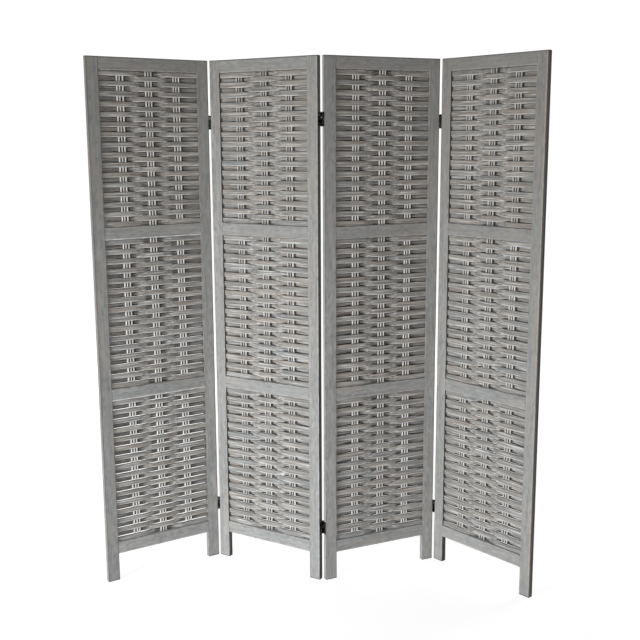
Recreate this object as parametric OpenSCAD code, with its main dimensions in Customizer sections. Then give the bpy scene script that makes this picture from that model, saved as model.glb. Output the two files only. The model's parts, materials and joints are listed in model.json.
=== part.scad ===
// Folding screen of four wooden frames, each with three woven panels of
// flat bamboo slats over round rods. Millimetres, +Z up, floor at z = 0.
// The front of the screen looks along -Y. Panels are numbered from the left.

/* [Panels] */
// Height of every panel from the floor to its top edge
panel_h = 1700; // [1200:10:2100]
// Width of every panel over both stiles
panel_w = 410; // [320:1:600]
// Thickness of the frame timber
frame_t = 18; // [17:0.5:26]
// Face width of the stiles
stile_w = 39; // [32:1:60]
// Face height of the rails
rail_h = 41; // [34:1:60]
// Free length of the stiles below the bottom rail
leg_h = 92; // [40:1:160]
// Radius of the rounded long edges of the timber
arris_r = 1.2; // [0.6:0.1:2]

/* [Mortise and tenon joints] */
// Length of the tenon on each end of a rail
tenon_l = 22; // [10:1:28]
// Thickness of the tenons
tenon_t = 8; // [5:0.5:9]
// Shoulder above and below each tenon
tenon_shoulder = 9; // [7:0.5:12]
// Gap left round each tenon and at its end
tenon_gap = 0.1; // [0.05:0.05:0.3]

/* [Weave] */
// Number of slats in each woven section
slat_count = 31; // [11:1:41]
// Thickness of the slats
slat_t = 2.6; // [1:0.1:3]
// Gap between two slats, one above the other
slat_gap = 0.3; // [0.2:0.1:3]
// Diameter of the upright rods
rod_d = 5.5; // [3:0.1:6]
// Number of rods in each column
rods_per_column = 3; // [1:1:4]
// Distance between the rods of one column
rod_pitch = 9.5; // [7:0.1:12]
// Distance between the columns of rods
column_pitch = 95; // [70:1:100]
// Gap between a slat and the rods that it passes
weave_clearance = 0.2; // [0.1:0.05:0.4]
// Run of a slat beside a column before it bends away
slat_run = 4; // [2:0.5:8]
// Straight end of each slat in front of its groove
slat_lead = 6; // [3:0.5:10]
// Distance of the slats' ends from the middle plane, in turn to the front and back
slat_end_offset = 3.2; // [2:0.1:4]

/* [Grooves] */
// Depth of the grooves that hold the weave in the timber
groove_depth = 6; // [4:0.5:8]
// Gap between the weave and each side of its groove
groove_clearance = 0.25; // [0.1:0.05:0.3]
// Gap between the ends of the weave and the groove's bottom
groove_end_gap = 0.3; // [0.1:0.05:0.5]

/* [Folding] */
// Heading of the first panel, seen from above
heading_1 = 33; // [0:1:60]
// Fold between panels 1 and 2, 0 in line and 180 shut
fold_12 = 64; // [10:1:120]
// Fold between panels 2 and 3
fold_23 = 56; // [10:1:120]
// Fold between panels 3 and 4
fold_34 = 74; // [10:1:120]
// Gap between two stiles when their panels stand in line
joint_gap = 2.2; // [1.9:0.1:5]
// Distance of each hinge pin outside the face of the timber
pin_offset = 3.6; // [3.2:0.1:7]

/* [Hinges] */
// Height of the hinges
hinge_h = 44; // [36:1:70]
// Height of the lower hinges' middle above the floor
hinge_low = 193; // [120:1:300]
// The same for the middle joint, whose hinges sit on the other side
hinge_low_23 = 180; // [120:1:300]
// Depth of the upper hinges' middle below the top edge
hinge_drop = 197; // [120:1:300]
// The same for the middle joint
hinge_drop_23 = 191; // [120:1:300]
// Width of a leaf on the edge of the timber
leaf_w = 15; // [12:0.5:16]
// Thickness of the leaves
leaf_t = 0.8; // [0.6:0.1:1]
// Outer diameter of the knuckles
knuckle_d = 5.6; // [5:0.1:6.6]
// Number of knuckles on one hinge
knuckle_count = 5; // [3:2:7]
// Gap between two knuckles
knuckle_gap = 0.3; // [0.2:0.05:0.6]
// Gap between a leaf and the knuckles of the other leaf
leaf_clearance = 0.6; // [0.3:0.1:1]
// Diameter of the pins
pin_d = 3; // [2.5:0.1:3.2]
// Radial gap between pin and knuckle
pin_fit = 0.05; // [0.03:0.01:0.08]
// Diameter of the riveted pin heads
pin_head_d = 4.8; // [4:0.1:5.4]
// Height of the riveted pin heads
pin_head_h = 0.8; // [0.5:0.1:1.5]

/* [Hinge screws] */
// Number of screws in each leaf
screw_count = 3; // [2:1:3]
// Distance between the screws
screw_pitch = 13; // [11:0.5:16]
// Diameter of the screws
screw_d = 2.8; // [2:0.1:3.2]
// Length of the screws with their heads
screw_l = 14; // [8:0.5:16]
// Diameter of the countersunk heads
screw_head_d = 5.6; // [5:0.1:6.4]
// Gap round each screw
screw_clearance = 0.1; // [0.05:0.01:0.2]
// Width of the arms of the cross in each head
cross_w = 0.8; // [0.6:0.1:1]
// Length of the arms of the cross
cross_l = 3; // [2:0.1:3.6]
// Depth of the cross
cross_depth = 0.7; // [0.4:0.05:0.75]

/* [Hidden] */
$fn = 48;
// Overshoot of the cuts that end in the open
cut = 1;
// Length that joined parts of one solid share
overlap = 1;

wood = "#92928f";
bamboo = "#9f9c96";
rod_wood = "#cfccc2";
metal = "#1f1b19";

PANELS = [1, 2, 3, 4];
JOINTS = [12, 23, 34];
SECTIONS = ["lower", "middle", "upper"];
RAILS = ["bottom_rail", "lower_rail", "upper_rail", "top_rail"];

// Clear opening between the stiles and height of each woven section
opening_w = panel_w - 2 * stile_w;
section_h = (panel_h - leg_h - 4 * rail_h) / 3;
function rail_z(row) = leg_h + row * (rail_h + section_h);
function section_z(row) = rail_z(row) + rail_h;

// Middle plane of the timber, where the weave lies
mid_t = frame_t / 2;
slat_pitch = section_h / slat_count;
slat_h = slat_pitch - slat_gap;
slat_reach = groove_depth - groove_end_gap;
groove_half = slat_end_offset + slat_t / 2 + groove_clearance;
// Distance of a slat's middle from the middle plane beside the rods
swing = rod_d / 2 + weave_clearance + slat_t / 2;
// Half of the length that a slat runs level beside a column
level_half = (rods_per_column - 1) * rod_pitch / 2 + rod_d / 2 + slat_run;

// Plan of the chain: heading and front left corner of each panel
function heading(k) =
    k == 1 ? heading_1 :
    k == 2 ? heading(1) - fold_12 :
    k == 3 ? heading(2) + fold_23 :
    heading(3) - fold_34;
function turn(p, a) = [p.x * cos(a) - p.y * sin(a), p.x * sin(a) + p.y * cos(a)];
// Pins 12 and 34 stand in front of the timber, pin 23 behind it
function pin_side(k) = k == 2 ? frame_t + pin_offset : -pin_offset;
function pin_at(k) = corner(k) + turn([panel_w + joint_gap / 2, pin_side(k)], heading(k));
function corner(k) =
    k == 1 ? [0, 0] :
    pin_at(k - 1) + turn([joint_gap / 2, -pin_side(k - 1)], heading(k));

// Middle of the plan's box, which is set on the origin
outline = [
    for (k = PANELS, u = [arris_r, panel_w - arris_r], w = [arris_r, frame_t - arris_r])
        corner(k) + turn([u, w], heading(k))
];
outline_x = [for (p = outline) p.x];
outline_y = [for (p = outline) p.y];
middle = [(min(outline_x) + max(outline_x)) / 2, (min(outline_y) + max(outline_y)) / 2];

// Both hinge heights of the joint after panel k, and the screws' heights on one hinge
function hinge_z(k) = [
    k == 2 ? hinge_low_23 : hinge_low,
    panel_h - (k == 2 ? hinge_drop_23 : hinge_drop)
];
screw_z = [for (i = [0 : screw_count - 1]) (i - (screw_count - 1) / 2) * screw_pitch];
knuckle_pitch = hinge_h / knuckle_count;
// Distance of the screws from the face of the timber that the pin is on
screw_depth = leaf_w / 2;

function panel_name(k, piece) = str("panel_", k, "_", piece);

// Stands its children on panel k, with x across, y from front to back
module on_panel(k) {
    translate(concat(corner(k) - middle, 0)) rotate([0, 0, heading(k)]) children();
}

// Rectangle with round corners, drawn from exact arcs
module rounded_bar(w, t) {
    translate([arris_r, 0]) square([w - 2 * arris_r, t]);
    translate([0, arris_r]) square([w, t - 2 * arris_r]);
    for (x = [arris_r, w - arris_r], y = [arris_r, t - arris_r]) translate([x, y]) circle(arris_r);
}

module box_between(low, high) {
    translate(low) cube(high - low);
}

// A stile with its outer edge at x = 0, mortises and groove at its inner edge
module stile_blank() {
    difference() {
        linear_extrude(panel_h) rounded_bar(stile_w, frame_t);
        for (row = [0 : 3]) {
            box_between(
                [stile_w - tenon_l - tenon_gap, mid_t - tenon_t / 2 - tenon_gap,
                    rail_z(row) + tenon_shoulder - tenon_gap],
                [stile_w + cut, mid_t + tenon_t / 2 + tenon_gap,
                    rail_z(row) + rail_h - tenon_shoulder + tenon_gap]
            );
        }
        for (row = [0 : 2]) {
            box_between(
                [stile_w - groove_depth, mid_t - groove_half, section_z(row)],
                [stile_w + cut, mid_t + groove_half, section_z(row) + section_h]
            );
        }
    }
}

// Holes for the hinge screws of the joint after panel k, in the edge at x = 0
module screw_holes(k) {
    for (z = hinge_z(k), dz = screw_z) {
        translate([-cut, screw_y(k), z + dz]) rotate([0, 90, 0])
            cylinder(h = screw_l - leaf_t + screw_clearance + cut, d = screw_d + 2 * screw_clearance);
    }
}

// Distance of the screws behind the front face, for the joint after panel k
function screw_y(k) = k == 2 ? frame_t - screw_depth : screw_depth;

module left_stile(k) {
    color(wood) on_panel(k) difference() {
        stile_blank();
        if (k > 1) screw_holes(k - 1);
    }
}

module right_stile(k) {
    color(wood) on_panel(k) translate([panel_w, 0, 0]) mirror([1, 0, 0]) difference() {
        stile_blank();
        if (k < 4) screw_holes(k);
    }
}

// A rail with a tenon on each end; the weave's rods stand in its grooves
module rail(k, row) {
    color(wood) on_panel(k) translate([stile_w, 0, rail_z(row)]) difference() {
        union() {
            rotate([90, 0, 90]) linear_extrude(opening_w) {
                translate([0, rail_h]) rotate(-90) rounded_bar(rail_h, frame_t);
            }
            box_between(
                [-tenon_l, mid_t - tenon_t / 2, tenon_shoulder],
                [opening_w + tenon_l, mid_t + tenon_t / 2, rail_h - tenon_shoulder]
            );
        }
        if (row > 0) rod_groove(-cut, groove_depth);
        if (row < 3) rod_groove(rail_h - groove_depth, rail_h + cut);
    }
}

module rod_groove(low, high) {
    half = rod_d / 2 + groove_clearance;
    box_between([-cut, mid_t - half, low], [opening_w + cut, mid_t + half, high]);
}

// Middle line of a slat as [across, swing] pairs; side is -1 where it
// starts in front of the first column of rods
function slat_line(side) = concat(
    [[-slat_reach, slat_end_offset * side], [slat_lead, slat_end_offset * side]],
    [
        for (c = [-1 : 1], e = [-1, 1])
            [opening_w / 2 + c * column_pitch + e * level_half, swing * side * (c == 0 ? -1 : 1)]
    ],
    [
        [opening_w - slat_lead, slat_end_offset * side],
        [opening_w + slat_reach, slat_end_offset * side]
    ]
);

module slat(side) {
    line = slat_line(side);
    last = len(line) - 1;
    linear_extrude(slat_h) polygon([
        for (p = line) p - [0, slat_t / 2],
        for (i = [last : -1 : 0]) line[i] + [0, slat_t / 2]
    ]);
}

module slats(k, row) {
    color(bamboo) on_panel(k) {
        for (i = [0 : slat_count - 1]) {
            z = section_z(row) + i * slat_pitch + slat_gap / 2;
            translate([stile_w, mid_t, z]) slat(i % 2 == 0 ? -1 : 1);
        }
    }
}

module rods(k) {
    reach = groove_depth - groove_end_gap;
    color(rod_wood) on_panel(k) {
        for (row = [0 : 2], c = [-1 : 1], i = [0 : rods_per_column - 1]) {
            x = panel_w / 2 + c * column_pitch + (i - (rods_per_column - 1) / 2) * rod_pitch;
            translate([x, mid_t, section_z(row) - reach]) cylinder(h = section_h + 2 * reach, d = rod_d);
        }
    }
}

// Places its children at both hinges after panel k, in the frame of panel
// "side": x runs away from the pin into the timber, y from the pin's side of
// the timber towards the other, and the pin is at the origin
module at_hinges(k, side) {
    own = side == "left" ? k : k + 1;
    for (z = hinge_z(k)) {
        translate(concat(pin_at(k) - middle, z)) rotate([0, 0, heading(own)])
            mirror([side == "left" ? 1 : 0, 0, 0]) mirror([0, k == 2 ? 1 : 0, 0]) children();
    }
}

// Knuckles number "first", first + 2 and so on
module knuckles(first) {
    for (i = [first : 2 : knuckle_count - 1]) {
        translate([0, 0, i * knuckle_pitch - hinge_h / 2 + knuckle_gap / 2]) children();
    }
}

module leaf(first) {
    seat = joint_gap / 2;
    plate_from = knuckle_d / 2 + leaf_clearance;
    knuckle_h = knuckle_pitch - knuckle_gap;
    hole_d = screw_d + 2 * screw_clearance;
    difference() {
        union() {
            box_between([seat - leaf_t, plate_from, -hinge_h / 2 + knuckle_gap / 2],
                [seat, pin_offset + leaf_w, hinge_h / 2 - knuckle_gap / 2]);
            knuckles(first) {
                cylinder(h = knuckle_h, d = knuckle_d);
                translate([seat - leaf_t, 0, 0]) cube([leaf_t, plate_from + overlap, knuckle_h]);
            }
        }
        knuckles(first) translate([0, 0, -cut])
            cylinder(h = knuckle_h + 2 * cut, d = pin_d + 2 * pin_fit);
        for (z = screw_z) {
            translate([seat - leaf_t, pin_offset + screw_depth, z]) rotate([0, 90, 0]) {
                cylinder(h = leaf_t, d1 = screw_head_d + 2 * screw_clearance, d2 = hole_d);
                translate([0, 0, -cut]) cylinder(h = leaf_t + 2 * cut, d = hole_d);
            }
        }
    }
}

module leaves(k, side) {
    color(metal) at_hinges(k, side) leaf(side == "left" ? 0 : 1);
}

module pins(k) {
    half = hinge_h / 2 - knuckle_gap / 2 + pin_fit;
    color(metal) at_hinges(k, "left") {
        translate([0, 0, -half]) cylinder(h = 2 * half, d = pin_d);
        for (s = [0, 1]) mirror([0, 0, s]) translate([0, 0, half])
            cylinder(h = pin_head_h, d1 = pin_head_d, d2 = pin_d);
    }
}

module screw() {
    difference() {
        union() {
            cylinder(h = screw_l, d = screw_d);
            cylinder(h = leaf_t, d1 = screw_head_d, d2 = screw_d);
        }
        for (a = [0, 90]) rotate(a) translate([-cross_l / 2, -cross_w / 2, -cut])
            cube([cross_l, cross_w, cut + cross_depth]);
    }
}

// All the screws in panel k's own timber
module hinge_screws(k) {
    color(metal) {
        if (k < 4) panel_screws(k, "left");
        if (k > 1) panel_screws(k - 1, "right");
    }
}

module panel_screws(joint, side) {
    at_hinges(joint, side) {
        for (z = screw_z) {
            translate([joint_gap / 2 - leaf_t, pin_offset + screw_depth, z]) rotate([0, 90, 0]) screw();
        }
    }
}

left_stile(1);  // panel_1_left_stile
left_stile(2);  // panel_2_left_stile
left_stile(3);  // panel_3_left_stile
left_stile(4);  // panel_4_left_stile
right_stile(1);  // panel_1_right_stile
right_stile(2);  // panel_2_right_stile
right_stile(3);  // panel_3_right_stile
right_stile(4);  // panel_4_right_stile
rail(1, 0);  // panel_1_bottom_rail
rail(1, 1);  // panel_1_lower_rail
rail(1, 2);  // panel_1_upper_rail
rail(1, 3);  // panel_1_top_rail
rail(2, 0);  // panel_2_bottom_rail
rail(2, 1);  // panel_2_lower_rail
rail(2, 2);  // panel_2_upper_rail
rail(2, 3);  // panel_2_top_rail
rail(3, 0);  // panel_3_bottom_rail
rail(3, 1);  // panel_3_lower_rail
rail(3, 2);  // panel_3_upper_rail
rail(3, 3);  // panel_3_top_rail
rail(4, 0);  // panel_4_bottom_rail
rail(4, 1);  // panel_4_lower_rail
rail(4, 2);  // panel_4_upper_rail
rail(4, 3);  // panel_4_top_rail
slats(1, 0);  // panel_1_lower_slats
slats(1, 1);  // panel_1_middle_slats
slats(1, 2);  // panel_1_upper_slats
slats(2, 0);  // panel_2_lower_slats
slats(2, 1);  // panel_2_middle_slats
slats(2, 2);  // panel_2_upper_slats
slats(3, 0);  // panel_3_lower_slats
slats(3, 1);  // panel_3_middle_slats
slats(3, 2);  // panel_3_upper_slats
slats(4, 0);  // panel_4_lower_slats
slats(4, 1);  // panel_4_middle_slats
slats(4, 2);  // panel_4_upper_slats
rods(1);  // panel_1_rods
rods(2);  // panel_2_rods
rods(3);  // panel_3_rods
rods(4);  // panel_4_rods
leaves(1, "left");  // hinge_12_left_leaves
leaves(1, "right");  // hinge_12_right_leaves
pins(1);  // hinge_12_pins
leaves(2, "left");  // hinge_23_left_leaves
leaves(2, "right");  // hinge_23_right_leaves
pins(2);  // hinge_23_pins
leaves(3, "left");  // hinge_34_left_leaves
leaves(3, "right");  // hinge_34_right_leaves
pins(3);  // hinge_34_pins
hinge_screws(1);  // panel_1_hinge_screws
hinge_screws(2);  // panel_2_hinge_screws
hinge_screws(3);  // panel_3_hinge_screws
hinge_screws(4);  // panel_4_hinge_screws
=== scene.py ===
"""Looks of the woven bamboo folding screen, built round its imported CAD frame.

Metres, +Z up, floor at z = 0, front of the screen along -Y. The timber, the hinges and the screws
are the CAD nodes with procedural materials. The slats and the rods are modelled again in full detail.
Sizes in "local" terms are measured on one panel: x across from its left edge, y from its front face
to its back, z up from the floor.
"""

import json
import math
import random
from collections import namedtuple

import bpy
import numpy as np
from mathutils import Matrix, Vector


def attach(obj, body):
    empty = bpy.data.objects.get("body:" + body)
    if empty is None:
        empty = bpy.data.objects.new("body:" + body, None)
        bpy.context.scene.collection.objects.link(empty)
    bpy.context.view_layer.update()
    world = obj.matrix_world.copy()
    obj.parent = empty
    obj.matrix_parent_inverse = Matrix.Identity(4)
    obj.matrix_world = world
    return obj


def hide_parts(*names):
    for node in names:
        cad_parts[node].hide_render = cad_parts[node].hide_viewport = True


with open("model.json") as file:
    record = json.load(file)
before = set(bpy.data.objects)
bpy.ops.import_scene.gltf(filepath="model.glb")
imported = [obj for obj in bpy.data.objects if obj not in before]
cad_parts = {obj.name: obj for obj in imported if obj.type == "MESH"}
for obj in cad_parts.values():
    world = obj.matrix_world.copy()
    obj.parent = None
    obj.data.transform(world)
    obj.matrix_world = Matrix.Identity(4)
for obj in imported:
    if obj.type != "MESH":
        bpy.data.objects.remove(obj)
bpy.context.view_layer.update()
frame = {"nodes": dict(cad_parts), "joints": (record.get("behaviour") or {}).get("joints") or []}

MM = 0.001

# Seeds of the random draws for the timber and the weave
TIMBER_SEED = 11
WEAVE_SEED = 7

# Sizes of the CAD part, in millimetres
PANEL_H = 1700
PANEL_W = 410
FRAME_T = 18
STILE_W = 39
RAIL_H = 41
LEG_H = 92
SLAT_COUNT = 31
SLAT_T = 2.6
ROD_D = 5.5
ROD_PITCH = 9.5
COLUMN_PITCH = 95
WEAVE_CLEARANCE = 0.2
SLAT_RUN = 4
SLAT_LEAD = 6
END_OFFSET = 3.2
GROOVE_REACH = 5.7
JOINT_GAP = 2.2
PIN_OFFSET = 3.6

OPENING_W = PANEL_W - 2 * STILE_W
SECTION_H = (PANEL_H - LEG_H - 4 * RAIL_H) / 3
SLAT_PITCH = SECTION_H / SLAT_COUNT
SWING = ROD_D / 2 + WEAVE_CLEARANCE + SLAT_T / 2
# Half of a column's width, and half of the length that a slat runs level beside it
COLUMN_HALF = ROD_PITCH + ROD_D / 2
LEVEL_HALF = COLUMN_HALF + SLAT_RUN

# Height of the slats beside the rods in each panel's lower, middle and upper section, where one slat
# covers the edges of its neighbours, and where two slats pass each other. Those of panel 1 are
# narrower, so light shows above them.
COVER_HEIGHTS = {1: (15.6, 16.0, 16.1), 2: (17.7,) * 3, 3: (17.7,) * 3, 4: (17.6,) * 3}
PASSING_HEIGHT = 15.1

# How much painted shade darkens the inner sides of the slats in each panel's lower, middle and
# upper section, 0 to 1
INNER_SHADES = {1: (0.58, 0.52, 0.3), 2: (0.0,) * 3, 3: (0.25,) * 3, 4: (0.0,) * 3}

# How much further than usual the painted shade in the crevices reaches in each panel's lower,
# middle and upper section, in millimetres, down from the slat above and up from the slat below
SHADE_DOWN = {1: (3.0, 2.0, 0.5), 2: (-0.6, -0.6, -0.6), 3: (1.0, 0.8, 0.5), 4: (-0.8, -0.8, -0.8)}
SHADE_UP = {1: (1.1, 0.8, 0.1), 2: (1.5, 0.3, 0.0), 3: (1.0, 0.6, 0.1), 4: (1.5, 0.0, 0.0)}

# How much painted shade darkens the timber of each panel towards its top, from 0 to 1
TOP_SHADES = {1: 0.35, 2: 0.0, 3: 0.2, 4: 0.45}
# How much darker the left stile of panel 1 is over its whole height instead, as a step of grey
LEFT_END_SHADE = 0.05

PANELS = (1, 2, 3, 4)
SECTIONS = ("lower", "middle", "upper")
RAILS = ("bottom_rail", "lower_rail", "upper_rail", "top_rail")

# Heading of each panel in degrees, seen from above
HEADINGS = {1: 33, 2: -31, 3: 25, 4: -49}
# The joint that each panel is placed by, and x and y of its pins on that panel
PINS = {
    1: ("fold_12", PANEL_W + JOINT_GAP / 2, -PIN_OFFSET),
    2: ("fold_12", -JOINT_GAP / 2, -PIN_OFFSET),
    3: ("fold_23", -JOINT_GAP / 2, FRAME_T + PIN_OFFSET),
    4: ("fold_34", -JOINT_GAP / 2, -PIN_OFFSET),
}
PIN_PLACES = {joint["name"]: Vector(joint["pos_m"][:2]).to_3d() for joint in frame["joints"]}


def rail_z(row):
    """Height of a rail's lower edge, in millimetres."""
    return LEG_H + row * (RAIL_H + SECTION_H)


def section_z(row):
    """Height of a section's lower edge, in millimetres."""
    return LEG_H + RAIL_H + row * (RAIL_H + SECTION_H)


def panel_matrix(k):
    """Places a panel's local frame in the frame of the whole screen."""
    turn = Matrix.Rotation(math.radians(HEADINGS[k]), 4, "Z")
    joint, x, y = PINS[k]
    corner = PIN_PLACES[joint] - turn @ (Vector((x, y, 0)) * MM)
    return Matrix.Translation(corner) @ turn


PANEL_PLACES = {k: panel_matrix(k) for k in PANELS}


# Camera, at the photograph's viewpoint

# Place in metres, angles in radians, and lens and sensor in millimetres
CAMERA_AT = Vector((0.0223, -3.1087, 1.4451))
CAMERA_PITCH = 0.1815
CAMERA_YAW = 0.0011
CAMERA_ROLL = -0.0043
CAMERA_LENS = 55.12
SENSOR_W = 36


def add_camera():
    data = bpy.data.cameras.new("camera")
    data.sensor_fit = "HORIZONTAL"
    data.sensor_width = SENSOR_W
    data.lens = CAMERA_LENS
    data.clip_end = 100
    camera = bpy.data.objects.new("camera", data)
    bpy.context.scene.collection.objects.link(camera)
    camera.matrix_world = (
        Matrix.Translation(CAMERA_AT)
        @ Matrix.Rotation(CAMERA_YAW, 4, "Z")
        @ Matrix.Rotation(math.pi / 2 - CAMERA_PITCH, 4, "X")
        @ Matrix.Rotation(CAMERA_ROLL, 4, "Z")
    )
    bpy.context.scene.camera = camera


add_camera()


# Small helpers for node trees


class Tree:
    """The node tree of a new material or world, with short calls for the nodes used here."""

    def __init__(self, name, kind="Material"):
        makers = {"Material": bpy.data.materials, "World": bpy.data.worlds}
        self.owner = makers[kind].new(name)
        self.owner.use_nodes = True
        self.tree = self.owner.node_tree
        self.tree.nodes.clear()
        self.output = self.add("ShaderNodeOutput" + kind)

    def add(self, kind, **settings):
        node = self.tree.nodes.new(kind)
        for key, value in settings.items():
            setattr(node, key, value)
        return node

    def put(self, socket, value):
        """Links a node's output to the socket, or sets the socket to a constant."""
        if isinstance(value, bpy.types.NodeSocket):
            self.tree.links.new(value, socket)
        else:
            socket.default_value = value

    def math(self, operation, a, b, clamp=False):
        node = self.add("ShaderNodeMath", operation=operation, use_clamp=clamp)
        self.put(node.inputs[0], a)
        self.put(node.inputs[1], b)
        return node.outputs[0]

    def times(self, a, b):
        return self.math("MULTIPLY", a, b)

    def largest(self, first, *others):
        for other in others:
            first = self.math("MAXIMUM", first, other)
        return first

    def mapping(self, vector, location=(0, 0, 0), rotation=(0, 0, 0), scale=(1, 1, 1)):
        node = self.add("ShaderNodeMapping")
        self.put(node.inputs["Vector"], vector)
        self.put(node.inputs["Location"], location)
        self.put(node.inputs["Rotation"], rotation)
        self.put(node.inputs["Scale"], scale)
        return node.outputs[0]

    def noise(self, vector, scale, detail=3.0, roughness=0.55, distortion=0.0):
        node = self.add("ShaderNodeTexNoise")
        self.put(node.inputs["Vector"], vector)
        self.put(node.inputs["Scale"], scale)
        self.put(node.inputs["Detail"], detail)
        self.put(node.inputs["Roughness"], roughness)
        self.put(node.inputs["Distortion"], distortion)
        return node.outputs["Fac"]

    def remap(self, value, low, high, to_low=0.0, to_high=1.0):
        node = self.add("ShaderNodeMapRange", clamp=True)
        self.put(node.inputs["Value"], value)
        self.put(node.inputs["From Min"], low)
        self.put(node.inputs["From Max"], high)
        self.put(node.inputs["To Min"], to_low)
        self.put(node.inputs["To Max"], to_high)
        return node.outputs[0]

    def mix(self, factor, a, b):
        """Mixes two colours. Inputs 6 and 7 and output 2 are the node's sockets for colours."""
        node = self.add("ShaderNodeMix", data_type="RGBA")
        self.put(node.inputs["Factor"], factor)
        self.put(node.inputs[6], a)
        self.put(node.inputs[7], b)
        return node.outputs[2]

    def layers(self, colour, rows):
        """Lays tints over a colour. Each row is a noise, its values at which the tint begins and is
        strongest, the greatest share of the tint, and the tint."""
        for noise, start, stop, share, tint in rows:
            colour = self.mix(self.remap(noise, start, stop, 0.0, share), colour, tint)
        return colour

    def xyz(self, vector):
        node = self.add("ShaderNodeSeparateXYZ")
        self.put(node.inputs[0], vector)
        return node.outputs

    def attribute(self, name, output="Fac"):
        node = self.add("ShaderNodeAttribute", attribute_name=name)
        return node.outputs[output]

    def place(self):
        """Place in the object's own frame."""
        return self.add("ShaderNodeTexCoord").outputs["Object"]

    def seeded_place(self):
        """The same, moved by the seed of each strip or rod, so that no two look alike."""
        moved = self.add("ShaderNodeVectorMath", operation="ADD")
        self.put(moved.inputs[0], self.place())
        self.put(moved.inputs[1], self.attribute("seed", "Vector"))
        return moved.outputs[0]

    def blend(self, factor, a, b):
        """Mixes two shaders."""
        node = self.add("ShaderNodeMixShader")
        for socket, value in zip(node.inputs, (factor, a, b)):
            self.put(socket, value)
        return node.outputs[0]

    def seen(self):
        """1 for camera, glossy and transmission rays, and 0 for the light that reaches the object."""
        rays = self.add("ShaderNodeLightPath").outputs
        return self.largest(*(rays[f"Is {kind} Ray"] for kind in ("Camera", "Glossy", "Transmission")))

    def principled(self, colour, roughness, height, strength, distance, **constants):
        """Finishes the material. Its bumps follow height, and distance is their depth in metres."""
        shader = self.add("ShaderNodeBsdfPrincipled")
        self.put(shader.inputs["Base Color"], colour)
        self.put(shader.inputs["Roughness"], roughness)
        for name, value in constants.items():
            self.put(shader.inputs[name.replace("_", " ")], value)
        bump = self.add("ShaderNodeBump")
        self.put(bump.inputs["Strength"], strength)
        self.put(bump.inputs["Distance"], distance)
        self.put(bump.inputs["Height"], height)
        self.put(shader.inputs["Normal"], bump.outputs[0])
        self.put(self.output.inputs["Surface"], shader.outputs[0])
        return self.owner


def grey(level, warmth=0.0, green=0.0):
    """Linear colour of a display grey from 0 to 1, warmer or greener by small shares."""
    linear = level ** 2.2
    return (linear * (1 + warmth), linear * (1 + green), linear * (1 - warmth), 1)


# Materials

# Range of the timber's grey from board to board, and the heights in metres at which the painted
# shade towards the top begins and is full
TIMBER_GREYS = (0.67, 0.69)
SHADE_HEIGHTS = (0.7, 1.65)
# Scale of the timber's noises along the grain, as a share of their scale across it: fibres and
# streaks, patches and tints, and mottle
FINE_GRAIN, BROAD_GRAIN, SHORT_GRAIN = 0.04, 0.15, 0.4
# How far, in metres, the noise is moved from board to board
GRAIN_SHIFT = 20
# Where the worn lines and painted highlights along the edges begin and how soft their sides are,
# and the thinnest and the widest dark line along an edge, in metres
LINE_START = 0.0006
LINE_SOFT = 0.0006
EDGE_LINE = (0.001, 0.0036)
# Greys of the painted shade on a stile's right face at its front and back edge, and the same on
# panel 4, where it shows
RIGHT_FACE_SHADES = (0.24, 0.14)
LAST_RIGHT_FACE_SHADES = (0.5, 0.24)
# Distances in metres between which a change runs: the grey of that face, from the front edge back,
# the end of its painted shade, from the face inwards, and the end of a stile's dark tips
SHADE_DEPTHS = (0.001, 0.012)
SHADE_SKIN = (0.0004, 0.001)
TIP_SKIN = (0.0018, 0.0034)

# Axes of a panel's local frame
ACROSS, DEEP, UP = 0, 1, 2

# Worn or stained lines along the edges of the timber, as axis, side (0 the lower, 1 the upper end
# of that axis), width in metres, strength and colour. The pale, tan and bright ones along the inner
# edges of the stiles and the lower edges of the rails are painted highlight as well as wear.
PALE, TAN, DARK, BRIGHT = grey(0.82, 0.02), grey(0.74, 0.13), grey(0.42, 0.04), grey(0.98)
RAIL_LINES = [(UP, 0, 0.0034, 0.6, PALE)]
TOP_RAIL_LINES = RAIL_LINES + [(UP, 1, 0.004, 0.75, DARK)]
HIGHLIT_RAIL_LINES = [(UP, 0, 0.0042, 0.95, BRIGHT)]
LEFT_STILE_LINES = {
    1: [(ACROSS, 0, 0.0036, 0.6, DARK)],
    2: [(ACROSS, 1, 0.003, 0.5, PALE)],
    3: [],
    4: [(ACROSS, 1, 0.003, 0.5, PALE)],
}
RIGHT_STILE_LINES = {
    1: [(ACROSS, 0, 0.0026, 0.6, TAN), (ACROSS, 1, 0.003, 0.6, DARK)],
    2: [(ACROSS, 0, 0.0026, 0.5, PALE), (ACROSS, 1, 0.004, 0.8, PALE)],
    3: [(ACROSS, 0, 0.0026, 0.6, PALE), (ACROSS, 1, 0.003, 0.6, DARK)],
    4: [(ACROSS, 0, 0.0026, 0.5, PALE), (ACROSS, 1, 0.0046, 0.85, TAN)],
}

# A piece of timber: its name, panel, axis of the grain, box on its panel in local millimetres, and
# the lines along its edges
Board = namedtuple("Board", "name panel grain low high rubs")


def rail_lines(k, rail):
    if rail == "top_rail":
        return TOP_RAIL_LINES
    if k == 1 and rail in ("upper_rail", "lower_rail"):
        return HIGHLIT_RAIL_LINES
    return RAIL_LINES


def panel_boards(k):
    """All timber of one panel."""
    name = f"panel_{k}_"
    left, right = STILE_W, PANEL_W - STILE_W
    boards = [
        Board(name + "left_stile", k, UP, (0, 0, 0), (left, FRAME_T, PANEL_H), LEFT_STILE_LINES[k]),
        Board(
            name + "right_stile", k, UP, (right, 0, 0), (PANEL_W, FRAME_T, PANEL_H), RIGHT_STILE_LINES[k]
        ),
    ]
    for row, rail in enumerate(RAILS):
        low, high = (left, 0, rail_z(row)), (right, FRAME_T, rail_z(row) + RAIL_H)
        boards.append(Board(name + rail, k, ACROSS, low, high, rail_lines(k, rail)))
    return boards


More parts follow.
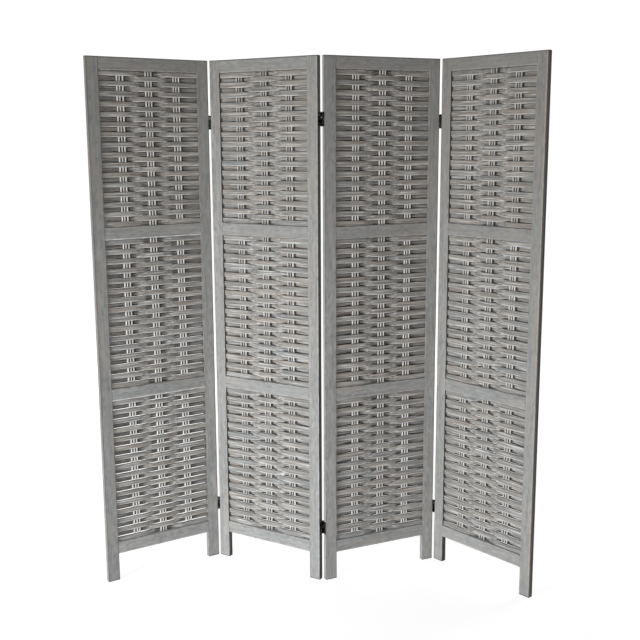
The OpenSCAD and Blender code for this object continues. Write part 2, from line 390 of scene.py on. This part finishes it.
def timber_grain(t, local, along, base, rng):
    """Colour, bump height and roughness of grey washed wood with its grain along one axis."""
    shift = [rng.uniform(-GRAIN_SHIFT, GRAIN_SHIFT) for _ in range(3)]
    places = []
    for share in (FINE_GRAIN, BROAD_GRAIN, SHORT_GRAIN):
        stretch = [1.0, 1.0, 1.0]
        stretch[along] = share
        places.append(t.mapping(local, location=shift, scale=stretch))
    fine, broad, short = places
    fibres = t.noise(fine, 900, detail=4, roughness=0.7)
    streaks = t.noise(fine, 170, detail=3, roughness=0.6, distortion=0.3)
    patches = t.noise(broad, 14, detail=2)
    mottle = t.noise(short, 110, detail=3, roughness=0.65)
    tint = t.noise(broad, 45, detail=2)

    dark, light = grey(base - 0.07, 0.0, 0.01), grey(base + 0.06, 0.015)
    colour = t.mix(t.remap(streaks, 0.38, 0.62), dark, light)
    colour = t.layers(colour, (
        (fibres, 0.35, 0.65, 0.4, grey(base, 0.01)),
        (mottle, 0.5, 0.66, 0.7, grey(base - 0.13, 0.01)),
        (mottle, 0.46, 0.32, 0.6, grey(base + 0.1, 0.01)),
        (patches, 0.4, 0.65, 0.4, grey(base - 0.05, 0.0, 0.015)),
        (tint, 0.5, 0.64, 0.5, grey(base + 0.01, 0.08, -0.01)),
        (tint, 0.5, 0.36, 0.4, grey(base - 0.01, -0.03, 0.015)),
    ))
    height = t.math("ADD", t.times(fibres, 0.5), t.times(streaks, 0.8))
    return colour, height, t.remap(streaks, 0.2, 0.8, 0.8, 0.68)


def edge_band(t, distance, wide):
    """1 along a board's edge, from where the edge lines begin to the line's width."""
    start = t.remap(distance, LINE_START - LINE_SOFT / 2, LINE_START + LINE_SOFT / 2)
    return t.times(start, t.remap(distance, wide - LINE_SOFT, wide + LINE_SOFT, 1.0, 0.0))


def timber(board, rng):
    """Grey washed wood of one board, with dark and worn lines along its edges, painted highlight on
    some of them, painted shade on a stile's right face and painted shade towards the top.
    """
    t = Tree("wood_" + board.name)
    inverse = PANEL_PLACES[board.panel].inverted()
    local = t.mapping(t.place(), location=inverse.translation, rotation=inverse.to_euler())
    base = rng.uniform(*TIMBER_GREYS)
    top_shade = TOP_SHADES[board.panel]
    if board.name == "panel_1_left_stile":
        base -= LEFT_END_SHADE
        top_shade = 0.0
    colour, height, roughness = timber_grain(t, local, board.grain, base, rng)

    # Distances in metres from the lower and the upper end of the board's box along each axis
    parts = t.xyz(local)
    ends = [
        [t.math("SUBTRACT", parts[i], board.low[i] * MM) for i in range(3)],
        [t.math("SUBTRACT", board.high[i] * MM, parts[i]) for i in range(3)],
    ]
    nearer = [t.math("MINIMUM", ends[0][i], ends[1][i]) for i in range(3)]
    across = [nearer[i] for i in range(3) if i != board.grain]
    away = t.largest(*across)

    # Painted shade, darker towards the top of the panel
    shade = t.remap(parts[UP], *SHADE_HEIGHTS, 0.0, top_shade)
    colour = t.mix(shade, colour, grey(base - 0.13, 0.04, -0.01))

    # A dark line along the long edges, thin and uneven
    breaks = t.noise(local, 45, detail=3)
    width = t.remap(breaks, 0.35, 0.65, *EDGE_LINE)
    line = t.math("SUBTRACT", 1.0, t.math("DIVIDE", away, width), clamp=True)
    colour = t.mix(t.times(line, 0.85), colour, grey(0.3, 0.04))

    # Worn and dark lines along the edges, and painted highlights along the inner edges of the stiles and
    # the lower edges of the rails
    for axis, side, wide, strength, tint in board.rubs:
        edge_mark = t.times(edge_band(t, ends[side][axis], wide), strength)
        edge_mark = t.times(edge_mark, t.remap(breaks, 0.6, 0.4, 0.5, 1.0))
        colour = t.mix(edge_mark, colour, tint)
    if board.grain == UP:
        # Stiles: painted shade on the right face, less so beside the front edge, and dark tips
        front, back = LAST_RIGHT_FACE_SHADES if board.name == "panel_4_right_stile" else RIGHT_FACE_SHADES
        right_shade = t.mix(t.remap(ends[0][DEEP], *SHADE_DEPTHS), grey(front, 0.08), grey(back, 0.05))
        colour = t.mix(t.remap(ends[1][ACROSS], *SHADE_SKIN, 0.85, 0.0), colour, right_shade)
        colour = t.mix(t.remap(nearer[UP], *TIP_SKIN, 0.8, 0.0), colour, grey(0.32, 0.04))
    return t.principled(
        colour, roughness, height, strength=0.35, distance=0.0006, Specular_IOR_Level=0.25
    )


def slat_finish():
    """Grey washed bamboo strips. Every slat has its own tone, tint and offset in its attributes,
    and its own painted shade in the crevices and pale rubbed edges that are partly painted highlight."""
    t = Tree("bamboo_slats")
    moved = t.seeded_place()
    fibre_place = t.mapping(moved, scale=(0.03, 1, 1))
    fibres = t.noise(fibre_place, 1500, detail=4, roughness=0.7)
    strips = t.noise(fibre_place, 420, detail=3, roughness=0.6)
    lines = t.noise(fibre_place, 210, detail=2, roughness=0.6)
    tints = t.noise(t.mapping(moved, scale=(0.05, 1, 1)), 160, detail=2)
    blotches = t.noise(t.mapping(moved, scale=(0.25, 1, 1)), 60, detail=3)

    tone = t.attribute("tone")
    warm = t.attribute("warm")
    cool = t.attribute("cool")
    base = t.mix(tone, grey(0.57, 0.025), grey(0.74, 0.035))
    base = t.mix(warm, base, grey(0.65, 0.19, -0.01))
    base = t.mix(cool, base, grey(0.6, -0.08, 0.01))
    colour = t.layers(base, (
        (lines, 0.5, 0.6, 0.75, grey(0.43, 0.03)),
        (lines, 0.47, 0.37, 0.6, grey(0.86, 0.02)),
        (tints, 0.52, 0.62, 0.5, grey(0.67, 0.19, -0.02)),
        (tints, 0.48, 0.38, 0.5, grey(0.63, -0.06, 0.04)),
        (strips, 0.44, 0.6, 0.5, grey(0.47, 0.04)),
        (fibres, 0.4, 0.7, 0.4, grey(0.74, 0.03)),
        (blotches, 0.55, 0.8, 0.45, grey(0.76, 0.02)),
        (lines, 0.37, 0.31, 0.6, grey(0.95, 0.0)),
    ))

    # Pale rubbed edges that are partly painted highlight, most of all the lower ones on the outer side
    # beside the rods, and short painted highlights where two slats pass each other
    up, down = t.attribute("up"), t.attribute("down")
    inner, near, cross = t.attribute("inner"), t.attribute("near"), t.attribute("cross")
    outer = t.math("SUBTRACT", 1.0, inner)
    uneven = t.remap(blotches, 0.35, 0.6, 0.65, 1.0)
    lower_rim = t.times(t.remap(down, 1.7, 3.6, 0.95, 0.0), outer)
    lower_rim = t.times(lower_rim, t.remap(near, 0.0, 0.5, 0.3, 1.0))
    passing_highlights = t.times(t.remap(down, 0.8, 2.2, 0.7, 0.0), cross)
    rim_and_highlights = t.times(t.largest(lower_rim, passing_highlights), uneven)
    colour = t.mix(rim_and_highlights, colour, grey(0.92, 0.02))

    # Painted shade where the neighbouring slats and the rods cover the inner side, along upper edges
    # and next to the rails
    above = t.remap(up, t.remap(near, 0.0, 1.0, 1.2, 1.8), t.remap(near, 0.0, 1.0, 2.2, 3.2), 1.0, 0.0)
    below = t.remap(down, t.remap(near, 0.0, 1.0, 0.4, 1.5), t.remap(near, 0.0, 1.0, 1.2, 2.6), 1.0, 0.0)
    covered = t.times(t.largest(above, below, t.attribute("inner_shade")), inner)
    covered = t.times(covered, t.remap(near, 0.0, 0.8, 0.6, 1.0))
    upper_edge = t.times(t.remap(up, 0.5, 2.0, 0.8, 0.0), outer)
    painted_shade = t.largest(covered, t.attribute("beside"), upper_edge, t.attribute("frame"))
    painted_shade = t.times(painted_shade, t.remap(strips, 0.3, 0.7, 0.8, 1.0))
    colour = t.mix(painted_shade, colour, grey(0.14, 0.15, -0.03))
    height = t.math("ADD", t.times(fibres, 0.4), strips)
    roughness = t.remap(fibres, 0.3, 0.7, 0.75, 0.58)
    return t.principled(
        colour, roughness, height, strength=0.5, distance=0.0005, Specular_IOR_Level=0.25
    )


def rod_finish():
    """Pale peeled rods with long fibres and a few grey rubs."""
    t = Tree("weave_rods")
    moved = t.seeded_place()
    fibres = t.noise(t.mapping(moved, scale=(1, 1, 0.03)), 1400, detail=4)
    rubs = t.noise(t.mapping(moved, scale=(1, 1, 0.3)), 70, detail=2)
    base = t.mix(t.attribute("tone"), grey(0.74, 0.03), grey(1.0, 0.03))
    colour = t.layers(base, (
        (fibres, 0.5, 0.75, 0.3, grey(0.8, 0.05)),
        (rubs, 0.58, 0.78, 0.4, grey(0.66, 0.02)),
    ))
    return t.principled(colour, 0.55, fibres, strength=0.3, distance=0.0003)


def hinge_finish(name, base, spread):
    """Dark metal of one grey, with small light spots that are lighter by the spread: rubbed metal and
    painted glints.
    """
    t = Tree(name)
    place = t.place()
    fine = t.noise(place, 900, detail=3)
    broad = t.noise(place, 120, detail=3)
    colour = t.mix(t.remap(broad, 0.54, 0.66), grey(base, 0.08), grey(base + spread, 0.05))
    roughness = t.remap(fine, 0.3, 0.7, 0.32, 0.5)
    return t.principled(
        colour, roughness, fine, strength=0.2, distance=0.0002, Metallic=0.7, Specular_IOR_Level=0.2
    )


def set_material(obj, material):
    if not obj.material_slots:
        obj.data.materials.append(material)
    for slot in obj.material_slots:
        slot.material = material


def finish_timber():
    rng = random.Random(TIMBER_SEED)
    for k in PANELS:
        for board in panel_boards(k):
            set_material(frame["nodes"][board.name], timber(board, rng))


# Woven slats


def ease(t):
    """Rises smoothly from 0 to 1."""
    return t * t * (3 - 2 * t)


def ramp(value, low, high):
    """0 at low, 1 at high and smooth in between."""
    return ease(min(1.0, max(0.0, (value - low) / (high - low))))


# Middle of each column of rods, from the opening's left edge
COLUMNS = [OPENING_W / 2 + c * COLUMN_PITCH for c in (-1, 0, 1)]

# Where a slat's section is set in any case, from the opening's edges and from the columns' middles,
# and the longest step between two sections
EDGE_MARKS = (0, 3, 8)
COLUMN_MARKS = (-LEVEL_HALF, -13.5, -11, 0, 11, 13.5, LEVEL_HALF)
LONGEST_STEP = 7

# Distances from a column's side at which the painted shade on a slat begins to fade and ends, on
# the column's left and right, and between which a slat stops being near the rods
SHADE_LEFT = (0, 2.5)
SHADE_RIGHT = (5, 8)
NEAR_RODS = (8, 34)

# Shares of the full swing between which a slat grows to its full height, turns its inner side to
# the rods, and leaves the place where two slats pass each other
COVER_SWING = (0.33, 0.62)
INNER_SWING = (0.3, 0.7)
CROSS_SWING = (0.1, 0.3)

# How much the slats vary in height and place, in millimetres, and in tilt, in degrees
HEIGHT_SPREAD = 0.25
PLACE_SPREAD = 0.12
TILT_SPREAD = 0.8
# Waves along a slat, as size and length over 2 pi: two of its height, and one of its turn
RISE_WAVES = ((0.13, 41), (0.07, 17))
TURN_WAVE = (0.02, 60)

# Gap between a rail and the slat next to it, and the painted shade there with the distances over
# which it ends
RAIL_GAP = 0.2
RAIL_SHADE = 0.85
RAIL_SHADE_REACH = (0.2, 2.0)


def wave(x):
    """Swing of a slat's middle line from -1 to 1 at x in the opening, 1 beside the first column."""
    marks = [(SLAT_LEAD, END_OFFSET / SWING)]
    for middle, sign in zip(COLUMNS, (1, -1, 1)):
        marks += [(middle - LEVEL_HALF, sign), (middle + LEVEL_HALF, sign)]
    marks.append((OPENING_W - SLAT_LEAD, END_OFFSET / SWING))
    x = min(max(x, marks[0][0]), marks[-1][0])
    for (x0, v0), (x1, v1) in zip(marks, marks[1:]):
        if x <= x1:
            return v0 + (v1 - v0) * ease((x - x0) / (x1 - x0))


def slat_stations():
    """Places along a slat where its section is set, closer together beside the rods."""
    marks = [-GROOVE_REACH, *EDGE_MARKS]
    marks += [middle + step for middle in COLUMNS for step in COLUMN_MARKS]
    marks += [OPENING_W - step for step in reversed(EDGE_MARKS)]
    marks.append(OPENING_W + GROOVE_REACH)
    stations = []
    for start, stop in zip(marks, marks[1:]):
        steps = max(1, round((stop - start) / LONGEST_STEP))
        stations += [start + (stop - start) * i / steps for i in range(steps)]
    stations.append(marks[-1])
    return stations


def beside_rods(x):
    """How much painted shade a slat has at x beside a column of rods, further on its right, and how
    near the rods it is."""
    off = min((x - middle for middle in COLUMNS), key=abs)
    clear = abs(off) - COLUMN_HALF
    reach = SHADE_RIGHT if off > 0 else SHADE_LEFT
    return 1 - ramp(clear, *reach), 1 - ramp(clear, *NEAR_RODS)


STATIONS = slat_stations()
WAVE = [wave(x) for x in STATIONS]
BESIDE = [beside_rods(x) for x in STATIONS]

# Section of a slat from its lower edge up the front and down the back, as depth in shares of half
# the thickness, distance from the nearer edge in millimetres and side of the middle (-1 lower)
SLAT_SECTION = (
    (-0.35, 0.0, -1), (-0.75, 0.35, -1), (-0.97, 1.1, -1), (-1.0, 3.2, -1), (-0.93, 8.0, -1),
    (-1.0, 3.2, 1), (-0.97, 1.1, 1), (-0.75, 0.35, 1), (-0.35, 0.0, 1),
    (0.35, 0.0, 1), (0.75, 0.35, 1), (0.97, 1.1, 1), (1.0, 3.2, 1), (0.93, 8.0, -1),
    (1.0, 3.2, -1), (0.97, 1.1, -1), (0.75, 0.35, -1), (0.35, 0.0, -1),
)


# Values that the finishes read at each point of a mesh, beside the seed
POINT_VALUES = (
    "tone", "warm", "cool", "inner_shade", "inner", "beside", "near", "cross", "frame", "up", "down",
)


class Pile:
    """Collects the tubes of one mesh, with one tone, tint and offset for each tube."""

    def __init__(self):
        self.points, self.faces, self.values = [], [], []

    def tube(self, rings, values, marks=None):
        """rings are lists of equally many points. The ends are closed. marks gives each point's own
        values beside those that the whole tube shares."""
        start = len(self.points)
        n = len(rings[0])
        for ring in rings:
            self.points.extend(ring)
        for r in range(len(rings) - 1):
            a = start + r * n
            for i in range(n):
                j = (i + 1) % n
                self.faces.append((a + i, a + n + i, a + n + j, a + j))
        last = start + (len(rings) - 1) * n
        self.faces.append(tuple(start + i for i in range(n)))
        self.faces.append(tuple(last + i for i in reversed(range(n))))
        for i in range(n * len(rings)):
            self.values.append(values | marks[i] if marks else values)

    def build(self, name, place):
        mesh = bpy.data.meshes.new(name)
        mesh.from_pydata([tuple(c * MM for c in p) for p in self.points], [], self.faces)
        for key in POINT_VALUES:
            data = mesh.attributes.new(key, "FLOAT", "POINT").data
            data.foreach_set("value", np.array([v.get(key, 0) for v in self.values], np.float32))
        data = mesh.attributes.new("seed", "FLOAT_VECTOR", "POINT").data
        data.foreach_set("vector", np.array([v["seed"] for v in self.values], np.float32).ravel())
        mesh.shade_smooth()
        mesh.update()
        obj = bpy.data.objects.new(name, mesh)
        bpy.context.scene.collection.objects.link(obj)
        obj.matrix_world = place
        return obj


# Mean and spread of the tone and the tints of a strip or rod, the most of each tint, and the warm
# tint from which a strip isn't cool as well
TONE = (0.5, 0.22)
WARM = (0.1, 0.28)
COOL = (0.05, 0.3)
WARMEST = 0.9
COOLEST = 0.8
WARM_ONLY = 0.2
# How far the noise is moved from strip to strip
SEED_REACH = 30


def random_values(rng):
    """Tone and tint of one strip or rod."""
    warm = max(0.0, rng.gauss(*WARM))
    cool = max(0.0, rng.gauss(*COOL))
    return {
        "tone": min(1.0, max(0.0, rng.gauss(*TONE))),
        "warm": min(warm, WARMEST),
        "cool": min(cool, COOLEST) if warm < WARM_ONLY else 0.0,
        "seed": [rng.uniform(-SEED_REACH, SEED_REACH) for _ in range(3)],
    }


def slat_marks(k, row, w, inner, place, up, down, overlap):
    """What the finish needs to know at one point of a slat: how far it lies inside the weave, beside
    the rods and where two slats pass, and its distances from the upper and the lower edge. On the
    inner side these are less by what the neighbours cover and by the reach of the painted shade. On
    the outer side the upper one is less by half of the reach from below."""
    beside, near = place
    reach_down, reach_up = SHADE_DOWN[k][row], SHADE_UP[k][row]
    return {
        "inner": inner,
        "beside": inner * beside,
        "near": near,
        "cross": 1 - ramp(abs(w), *CROSS_SWING),
        "up": up - (overlap + reach_down) * inner - reach_up / 2 * (1 - inner),
        "down": down - (overlap + reach_up) * inner,
    }


def add_slat(pile, k, row, i, rng):
    """Adds slat i of a section, counted from below."""
    low, high = section_z(row) + RAIL_GAP, section_z(row) + SECTION_H - RAIL_GAP
    side = -1 if i % 2 == 0 else 1
    cover = COVER_HEIGHTS[k][row] + rng.uniform(-HEIGHT_SPREAD, HEIGHT_SPREAD)
    middle = low + (i + 0.5) * SLAT_PITCH + rng.uniform(-PLACE_SPREAD, PLACE_SPREAD)
    tilt = math.radians(rng.gauss(0, TILT_SPREAD))
    *rise_phases, turn_phase = (rng.uniform(0, 2 * math.pi) for _ in range(3))
    rings, marks = [], []
    # x across the opening, w the swing there and place what beside_rods says of it
    for x, w, place in zip(STATIONS, WAVE, BESIDE):
        rise = 0
        for (size, run), phase in zip(RISE_WAVES, rise_phases):
            rise += size * math.sin(x / run + phase)
        turn = tilt + TURN_WAVE[0] * math.sin(x / TURN_WAVE[1] + turn_phase)
        half = (PASSING_HEIGHT + (cover - PASSING_HEIGHT) * ramp(abs(w), *COVER_SWING)) / 2
        overlap = 2 * half - SLAT_PITCH
        y0 = FRAME_T / 2 + side * SWING * w
        ring = []
        for depth, edge, end in SLAT_SECTION:
            y, z = depth * SLAT_T / 2, end * (half - edge)
            z_at = min(high, max(low, middle + rise + z))
            ring.append((STILE_W + x, y0 + y - math.sin(turn) * z, z_at))
            inner = ramp(abs(w), *INNER_SWING) if depth * side * w < 0 else 0.0
            mark = slat_marks(k, row, w, inner, place, half - z, half + z, overlap)
            # Painted shade next to the rails
            from_rail = min(high - z_at, z_at - low)
            mark["frame"] = RAIL_SHADE * (1 - ramp(from_rail, *RAIL_SHADE_REACH))
            marks.append(mark)
        rings.append(ring)
    # Each slat carries its section's painted shade on its inner side
    pile.tube(rings, random_values(rng) | {"inner_shade": INNER_SHADES[k][row]}, marks)


def add_slats(k, row, material, rng):
    pile = Pile()
    for i in range(SLAT_COUNT):
        add_slat(pile, k, row, i, rng)
    slats = pile.build(f"woven_slats_{k}_{SECTIONS[row]}", PANEL_PLACES[k])
    slats.data.materials.append(material)
    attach(slats, f"panel_{k}")
    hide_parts(f"panel_{k}_{SECTIONS[row]}_slats")


# Tone of the left, middle and right rod of each three. In panels 2 and 4 the right one is paler.
# The paler rods of panels 1 and 3 are painted highlight.
ROD_TONES = {1: (1.6, 1.0, 1.4), 2: (0.7, 0.4, 1.9), 3: (1.5, 1.0, 1.4), 4: (0.8, 0.5, 1.8)}

ROD_SIDES = 12
ROD_STEPS = 24
# How much the rods vary in place, lean and bend, in millimetres, and their thickness from rod to
# rod and along each rod, as shares
ROD_PLACE_SPREAD = 0.3
ROD_LEAN = 0.5
ROD_BEND = 0.3
ROD_THINNEST = 0.93
ROD_UNEVEN = 0.03
# Radians that a rod's bend and its thickness run through from end to end, and the latest start
BEND_TURN = 5
UNEVEN_TURN = 11
LATEST_START = 6


def rod_rings(x0, low, length, rng):
    """Rings of one rod, slightly bent and uneven, from its lower end up."""
    lean = rng.uniform(-ROD_LEAN, ROD_LEAN)
    size = ROD_D / 2 * rng.uniform(ROD_THINNEST, 1.0)
    phase = rng.uniform(0, LATEST_START)
    rings = []
    for step in range(ROD_STEPS + 1):
        share = step / ROD_STEPS
        x = x0 + lean * (share - 0.5) + ROD_BEND * math.sin(BEND_TURN * share + phase)
        uneven = ROD_UNEVEN * math.sin(UNEVEN_TURN * share + 2 * phase)
        radius = min(size * (1 + uneven), ROD_D / 2)
        z = low + length * share
        rings.append([
            (x + radius * math.cos(a), FRAME_T / 2 + radius * math.sin(a), z)
            for a in (2 * math.pi * n / ROD_SIDES for n in range(ROD_SIDES))
        ])
    return rings


def add_rods(k, material, rng):
    pile = Pile()
    length = SECTION_H + 2 * GROOVE_REACH
    for row in range(3):
        low = section_z(row) - GROOVE_REACH
        for c in (-1, 0, 1):
            for i in (-1, 0, 1):
                off = rng.uniform(-ROD_PLACE_SPREAD, ROD_PLACE_SPREAD)
                x0 = PANEL_W / 2 + c * COLUMN_PITCH + i * ROD_PITCH + off
                rings = rod_rings(x0, low, length, rng)
                values = random_values(rng)
                values["tone"] = min(1, values["tone"] * ROD_TONES[k][i + 1])
                pile.tube(rings, values)
    rods = pile.build(f"upright_rods_{k}", PANEL_PLACES[k])
    rods.data.materials.append(material)
    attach(rods, f"panel_{k}")
    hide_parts(f"panel_{k}_rods")


def add_weave():
    rng = random.Random(WEAVE_SEED)
    slat_material = slat_finish()
    rod_material = rod_finish()
    for k in PANELS:
        for row in range(3):
            add_slats(k, row, slat_material, rng)
        add_rods(k, rod_material, rng)


def finish_hinges():
    metal = hinge_finish("hinge_metal", base=0.02, spread=0.5)
    screws = hinge_finish("screw_metal", base=0.3, spread=0.2)
    for name, node in frame["nodes"].items():
        if name.endswith("_hinge_screws"):
            set_material(node, screws)
        elif name.startswith("hinge_"):
            set_material(node, metal)


finish_timber()
add_weave()
finish_hinges()


# Floor, world and lights

# Side of the floor in metres, and its colours for the light on the object and for the camera
FLOOR_SIZE = 28
FLOOR_LIT = (0.8, 0.8, 0.8, 1)
FLOOR_SEEN = (0.3, 0.3, 0.3, 1)
# Strength of the floor's glow where it is seen, and the distances in metres at which it begins to
# rise and ends
FLOOR_GLOW = (0.86, 1.05)
GLOW_REACH = (1.0, 2.5)
# Strength of the world's light on the object, and of the backdrop that the camera sees
AMBIENT = 0.03
BACKDROP = 1.05


def add_floor():
    """A white floor that takes the object's shadow. It glows where it is seen, and more so further
    away, so that it has no edge, and it throws back the light that falls on it."""
    mesh = bpy.data.meshes.new("floor")
    half = FLOOR_SIZE / 2
    corners = [(-half, -half, 0), (half, -half, 0), (half, half, 0), (-half, half, 0)]
    mesh.from_pydata(corners, [], [(0, 1, 2, 3)])
    floor = bpy.data.objects.new("floor", mesh)
    bpy.context.scene.collection.objects.link(floor)
    t = Tree("floor_white")
    lit = t.add("ShaderNodeBsdfDiffuse")
    t.put(lit.inputs["Color"], FLOOR_LIT)
    faint = t.add("ShaderNodeBsdfDiffuse")
    t.put(faint.inputs["Color"], FLOOR_SEEN)
    away = t.add("ShaderNodeVectorMath", operation="LENGTH")
    t.put(away.inputs[0], t.place())
    glow = t.add("ShaderNodeEmission")
    t.put(glow.inputs["Strength"], t.remap(away.outputs["Value"], *GLOW_REACH, *FLOOR_GLOW))
    seen = t.add("ShaderNodeAddShader")
    t.put(seen.inputs[0], glow.outputs[0])
    t.put(seen.inputs[1], faint.outputs[0])
    t.put(t.output.inputs["Surface"], t.blend(t.seen(), lit.outputs[0], seen.outputs[0]))
    mesh.materials.append(t.owner)


def add_world():
    """White where it is seen, and a weak light all round for the object."""
    t = Tree("studio", "World")
    shaders = []
    for strength in (AMBIENT, BACKDROP):
        shader = t.add("ShaderNodeBackground")
        t.put(shader.inputs["Color"], (1, 1, 1, 1))
        t.put(shader.inputs["Strength"], strength)
        shaders.append(shader.outputs[0])
    t.put(t.output.inputs["Surface"], t.blend(t.seen(), *shaders))
    bpy.context.scene.world = t.owner


# Square lamps as name, azimuth to the right of the front in degrees, distance and height in metres,
# target, size in metres, spread in degrees, power in watts and colour. A narrow spread keeps a lamp
# that is aimed at the foot of the screen off its top.
Lamp = namedtuple("Lamp", "name azimuth distance height target size spread power colour")
LAMPS = (
    Lamp("key", -48, 3.4, 1.5, (0, 0, 0.8), 0.9, 180, 34, (1.0, 0.985, 0.93)),
    Lamp("front", 5, 3.2, 0.6, (0, 0, 0.3), 0.8, 180, 20, (1.0, 0.99, 0.965)),
    Lamp("low", -45, 3.4, 0.8, (-0.1, 0, -0.2), 0.7, 70, 9, (0.93, 0.99, 1.04)),
    Lamp("above", 0, 0.3, 4.2, (0, 0, 0), 2.5, 180, 10, (1.0, 0.99, 0.97)),
    Lamp("behind_left", -145, 4.0, 2.2, (0, 0, 0.8), 2.0, 180, 62, (1.0, 0.99, 0.97)),
    Lamp("behind_right", 125, 4.0, 2.2, (0, 0, 0.8), 2.0, 180, 72, (1.0, 0.99, 0.97)),
)


def add_lamp(lamp):
    data = bpy.data.lights.new(lamp.name, "AREA")
    data.shape = "SQUARE"
    data.size = lamp.size
    data.spread = math.radians(lamp.spread)
    data.energy = lamp.power
    data.color = lamp.colour
    light = bpy.data.objects.new(lamp.name, data)
    light.visible_camera = False
    bpy.context.scene.collection.objects.link(light)
    angle = math.radians(lamp.azimuth)
    at = Vector((lamp.distance * math.sin(angle), -lamp.distance * math.cos(angle), lamp.height))
    aim = (Vector(lamp.target) - at).to_track_quat("-Z", "Y").to_matrix().to_4x4()
    light.matrix_world = Matrix.Translation(at) @ aim


add_floor()
add_world()
for lamp in LAMPS:
    add_lamp(lamp)

bpy.context.scene.view_settings.view_transform = "Standard"
